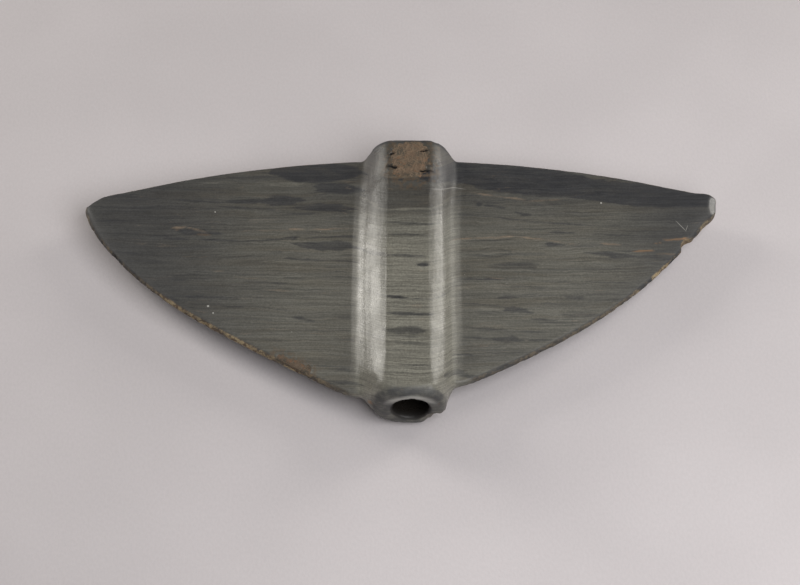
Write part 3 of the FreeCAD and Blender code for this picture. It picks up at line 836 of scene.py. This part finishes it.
    # The barrel and the facet are the smoothest, the rims, ends and breaks the roughest
    gloss = remap(tree, attribute(tree, "polish"), 0.0, 1.0, 0.48, 0.27)
    cloudy = grain(tree, place, (5, 5, 5), 5.0, shift=71.0)
    gloss = plus(tree, gloss, remap(tree, cloudy, 0.3, 0.7, -0.05, 0.07))
    dull = calc(tree, "MAXIMUM", calc(tree, "MAXIMUM", edge, broken), ends)
    gloss = plus(tree, gloss, times(tree, dull, 0.26))
    tree.links.new(gloss, shader.inputs["Roughness"])

    on_barrel_lines = times(tree, along, barrel)
    on_wing_lines = times(tree, around, calc(tree, "SUBTRACT", 1.0, barrel))
    lines = plus(tree, on_barrel_lines, on_wing_lines)
    pits = remap(tree, grain(tree, place, (0.5, 0.5, 0.5), 5.0, 0.7, shift=73.0), 0.3, 0.45)
    relief = plus(tree, lines, times(tree, pits, 0.35))
    relief = plus(tree, relief, times(tree, fine, 0.3))
    relief = calc(tree, "SUBTRACT", relief, times(tree, dark, 0.3))
    bump = node(tree, "Bump", {"Strength": 0.6, "Distance": 0.03 * MM, "Height": relief})
    tree.links.new(bump.outputs[0], shader.inputs["Normal"])
    return material


stone = bpy.data.objects.new("ground_stone", stone_skin)
bpy.context.scene.collection.objects.link(stone)
stone_skin.materials.clear()
stone_skin.materials.append(make_slate())
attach(stone, "root")
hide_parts("banner_stone")


# The brown crust in the worn patch on the barrel's upper end. It is old earth and plant
# fibre, bound by iron, and it sits in the hollow with gaps where it has fallen out; the
# stone in these gaps is painted near-black as shade.

CRUST_GRID = 0.22
SUNK_TOP = 0.08
BEDDED_UNDERSIDE = 0.1
THINNEST_CRUST = 0.05


def crust_mesh(name, hollow, roughness, seed, fibres=0.0):
    """A rough cake that fills a hollow: its top near the stone's old surface, its underside
    on the hollow's floor and its outline as ragged as the hollow."""
    reach = float(hollow.half.max()) + 2.0
    count = int(2 * reach / CRUST_GRID)
    steps = np.linspace(-reach, reach, count)
    columns, rows = np.meshgrid(steps, steps, indexing="ij")
    flat = np.stack([columns.ravel() + hollow.middle[0], rows.ravel() + hollow.middle[1]], 1)
    heights = np.full(len(flat), np.nan)
    rises = np.zeros(len(flat))
    for number, (x, y) in enumerate(flat):
        hit, facing, _, _ = skin_tree.ray_cast(Vector((x, y, ABOVE_STONE)), DOWN)
        if hit is not None and hit.z > BORE_HEIGHT:
            heights[number] = hit.z
            rises[number] = facing.z
    spots = np.column_stack([flat, np.zeros(len(flat))])
    cover = hollow.cover(spots, margin=0.25)
    cover[np.isnan(heights) | (rises < 0.3)] = 0.0
    lumps = roughness * ripple(spots, (1.5, 1.5, 1), seed)
    lumps += 0.6 * roughness * ripple(spots, (0.6, 0.6, 1), seed + 2)
    lumps += fibres * ripple(spots, (0.45, 2.6, 1), seed + 5)
    top = heights - hollow.depth + cover * (hollow.depth - SUNK_TOP + lumps)
    bottom = heights - hollow.depth - BEDDED_UNDERSIDE
    top = np.maximum(top, bottom + THINNEST_CRUST)

    mesh = bmesh.new()
    leaned = flat[:, 0] + lean(spots)
    used = (cover > 0.02).reshape(count, count)
    above = {}
    below = {}

    def corner(i, j, layer, height):
        if (i, j) not in layer:
            number = i * count + j
            spot = Vector((leaned[number], flat[number, 1], height[number]))
            layer[i, j] = mesh.verts.new(spot * MM)
        return layer[i, j]

    for i in range(count - 1):
        for j in range(count - 1):
            square = ((i, j), (i + 1, j), (i + 1, j + 1), (i, j + 1))
            if all(used[a, b] for a, b in square):
                mesh.faces.new([corner(a, b, above, top) for a, b in square])
                mesh.faces.new([corner(a, b, below, bottom) for a, b in reversed(square)])
    upper = set(above.values())
    borders = [edge for edge in mesh.edges if edge.is_boundary and edge.verts[0] in upper]
    partner = {above[key]: below[key] for key in above}
    for edge in borders:
        first, second = edge.verts
        loop = edge.link_loops[0]
        if loop.vert is first:
            first, second = second, first
        mesh.faces.new((first, second, partner[second], partner[first]))
    bmesh.ops.recalc_face_normals(mesh, faces=mesh.faces)
    made = bpy.data.meshes.new(name)
    mesh.to_mesh(made)
    mesh.free()
    shade_smooth(made)
    return made


FIBRE_SIZE = (3.0, 0.27, 1.0)


def fibres_along(tree, place, turn, shift):
    """Thin fibres that lie at that angle."""
    turned = node(tree, "Mapping", {
        "Vector": place, "Rotation": (0.0, 0.0, math.radians(turn)), "Scale": FIBRE_SIZE,
    }, vector_type="TEXTURE")
    strands = node(tree, "Mapping", {"Vector": turned.outputs[0], "Location": (shift, 0.0, 0.0)})
    made = node(
        tree, "TexNoise",
        {"Vector": strands.outputs[0], "Scale": 1.0, "Detail": 2.0, "Roughness": 0.5},
    )
    return remap(tree, made.outputs["Fac"], 0.56, 0.66)


def make_crust_material(name, dark, middle, light, bright, turns):
    """Matt earth in four colours, with fibres that lie at those angles."""
    material, tree, shader, place = new_material(name)
    clumps = remap(tree, grain(tree, place, (2.8, 2.0, 2.8), 5.0, 0.6, shift=5.0), 0.38, 0.6)
    crumbs = grain(tree, place, (0.6, 0.6, 0.6), 4.0, 0.7, shift=17.0)
    colour = blend_colour(tree, clumps, dark, middle)
    strands = fibres_along(tree, place, turns[0], 3.0)
    for number, turn in enumerate(turns[1:]):
        crossing = fibres_along(tree, place, turn, 20.0 + 9.0 * number)
        strands = calc(tree, "MAXIMUM", strands, crossing)
    colour = blend_colour(tree, times(tree, strands, 0.75), colour, light)
    rusty = grain(tree, place, (1.8, 1.2, 1.8), 4.0, 0.6, shift=27.0)
    rusty = remap(tree, rusty, 0.54, 0.66, 0.0, 0.6)
    colour = blend_colour(tree, rusty, colour, bright)
    colour = blend_colour(tree, remap(tree, crumbs, 0.45, 0.34, 0.0, 0.55), colour, dark)
    tree.links.new(colour, shader.inputs["Base Color"])
    shader.inputs["Roughness"].default_value = 0.85
    relief = plus(tree, strands, times(tree, crumbs, 1.5))
    bump = node(tree, "Bump", {"Strength": 0.6, "Distance": 0.08 * MM, "Height": relief})
    tree.links.new(bump.outputs[0], shader.inputs["Normal"])
    return material


CRUST_SHADOW = (0.066, 0.054, 0.038)
CRUST_BROWN = (0.13, 0.086, 0.055)
CRUST_FIBRE = (0.21, 0.148, 0.096)
CRUST_RUSTY = (0.19, 0.10, 0.052)
brown_cake = crust_mesh("brown_end_crust", patch, roughness=0.17, seed=31.0, fibres=0.06)
brown_crust = bpy.data.objects.new("brown_end_crust", brown_cake)
bpy.context.scene.collection.objects.link(brown_crust)
brown_crust.data.materials.append(make_crust_material(
    "brown_fibrous_crust", CRUST_SHADOW, CRUST_BROWN, CRUST_FIBRE, CRUST_RUSTY,
    turns=(25.0, -38.0, 72.0, -80.0),
))
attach(brown_crust, "root")
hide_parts("upper_end_crust")


# The rust crust in the scar on the left wing's lower edge, of iron-stained earth that fills
# the hollow where a flake came off.

RUST_SHADOW = (0.062, 0.052, 0.038)
RUST_BROWN = (0.115, 0.08, 0.053)
RUST_PALE = (0.155, 0.115, 0.078)
RUST_ORANGE = (0.20, 0.09, 0.042)
rust_cake = crust_mesh("rust_edge_crust", scar, roughness=0.1, seed=47.0)
rust_crust = bpy.data.objects.new("rust_edge_crust", rust_cake)
bpy.context.scene.collection.objects.link(rust_crust)
rust_crust.data.materials.append(make_crust_material(
    "rust_crust", RUST_SHADOW, RUST_BROWN, RUST_PALE, RUST_ORANGE, turns=(-30.0, 40.0),
))
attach(rust_crust, "root")
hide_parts("left_edge_crust")


# The sheet of pale, slightly fibrous paper that the stone lies on. It is laid flat, and it
# is wide enough that no view of the stone looks past its edge nearby.

PAPER_HALF = 1500.0
PAPER_GREY = (0.605, 0.568, 0.578)


def make_paper():
    sheet = bmesh.new()
    bmesh.ops.create_grid(sheet, x_segments=8, y_segments=8, size=PAPER_HALF * MM)
    mesh = bpy.data.meshes.new("paper")
    sheet.to_mesh(mesh)
    sheet.free()
    paper = bpy.data.objects.new("paper", mesh)
    bpy.context.scene.collection.objects.link(paper)
    material, tree, shader, place = new_material("pale_paper")
    fibres = grain(tree, place, (0.7, 1.1, 1.0), 4.0, 0.65, shift=3.0)
    clouds = remap(tree, grain(tree, place, (60, 60, 60), 2.0, shift=9.0), 0.3, 0.7, 0.97, 1.03)
    tone = times(tree, clouds, remap(tree, fibres, 0.3, 0.7, 0.975, 1.025))
    shade = node(tree, "CombineColor", {0: tone, 1: tone, 2: tone}).outputs[0]
    colour = blend_colour(tree, 1.0, PAPER_GREY, shade, "MULTIPLY")
    tree.links.new(colour, shader.inputs["Base Color"])
    shader.inputs["Roughness"].default_value = 0.9
    shader.inputs["Specular IOR Level"].default_value = 0.2
    bump = node(tree, "Bump", {"Strength": 0.35, "Distance": 0.12 * MM, "Height": fibres})
    tree.links.new(bump.outputs[0], shader.inputs["Normal"])
    mesh.materials.append(material)
    return paper


make_paper()


# The light: a tall soft lamp low on either side and a little behind the stone, a wide one
# above and in front of it, and an even pale room.

def soft_lamp(name, direction, distance, width, height, power, colour=(1.0, 1.0, 1.0)):
    """A soft lamp in that direction from the stone, facing it."""
    lamp = bpy.data.lights.new(name, "AREA")
    lamp.shape = "RECTANGLE"
    lamp.size = width * MM
    lamp.size_y = height * MM
    lamp.energy = power
    lamp.color = colour
    holder = bpy.data.objects.new(name, lamp)
    bpy.context.scene.collection.objects.link(holder)
    toward = Vector(direction).normalized()
    holder.location = toward * distance * MM + Vector((0.0, 0.0, BORE_HEIGHT * MM))
    holder.rotation_euler = toward.to_track_quat("Z", "Y").to_euler()
    return holder


def direction_of(azimuth, elevation):
    """The direction at that angle round from the front, anticlockwise from above."""
    turn, rise = math.radians(azimuth), math.radians(elevation)
    return math.sin(turn) * math.cos(rise), -math.cos(turn) * math.cos(rise), math.sin(rise)


SIDE_WHITE = (1.0, 0.965, 0.9)
SIDE_TURN = 122
SIDE_RISE = 19
SIDE_DISTANCE = 700
SIDE_WIDTH = 200
soft_lamp(
    "right_lamp", direction_of(SIDE_TURN, SIDE_RISE), SIDE_DISTANCE,
    width=SIDE_WIDTH, height=470, power=2.05, colour=SIDE_WHITE,
)
soft_lamp(
    "left_lamp", direction_of(-SIDE_TURN, SIDE_RISE), SIDE_DISTANCE,
    width=SIDE_WIDTH, height=480, power=2.8, colour=SIDE_WHITE,
)
soft_lamp("front_lamp", direction_of(41, 52), 480, width=380, height=380, power=1.85)

ROOM_GREY = (0.6, 0.585, 0.6)
ROOM_STRENGTH = 0.17
room = bpy.data.worlds.new("room")
bpy.context.scene.world = room
room.use_nodes = True
room.node_tree.nodes["Background"].inputs["Color"].default_value = (*ROOM_GREY, 1.0)
room.node_tree.nodes["Background"].inputs["Strength"].default_value = ROOM_STRENGTH


# The camera stands in front of the stone and looks down at it, at about the angle and the
# distance that the photograph was taken from.

CAMERA_ELEVATION = 57.0
CAMERA_DISTANCE = 525.0
CAMERA_TARGET = (-0.2, -5.05, BORE_HEIGHT)
CAMERA_LENS = 85.0
CAMERA_SENSOR = 36.0

camera_data = bpy.data.cameras.new("camera")
camera_data.lens = CAMERA_LENS
camera_data.sensor_width = CAMERA_SENSOR
camera = bpy.data.objects.new("camera", camera_data)
bpy.context.scene.collection.objects.link(camera)
view_line = Vector(direction_of(0, CAMERA_ELEVATION))
camera.location = (Vector(CAMERA_TARGET) + view_line * CAMERA_DISTANCE) * MM
camera.rotation_euler = view_line.to_track_quat("Z", "Y").to_euler()
bpy.context.scene.camera = camera
bpy.context.scene.view_settings.view_transform = "Standard"
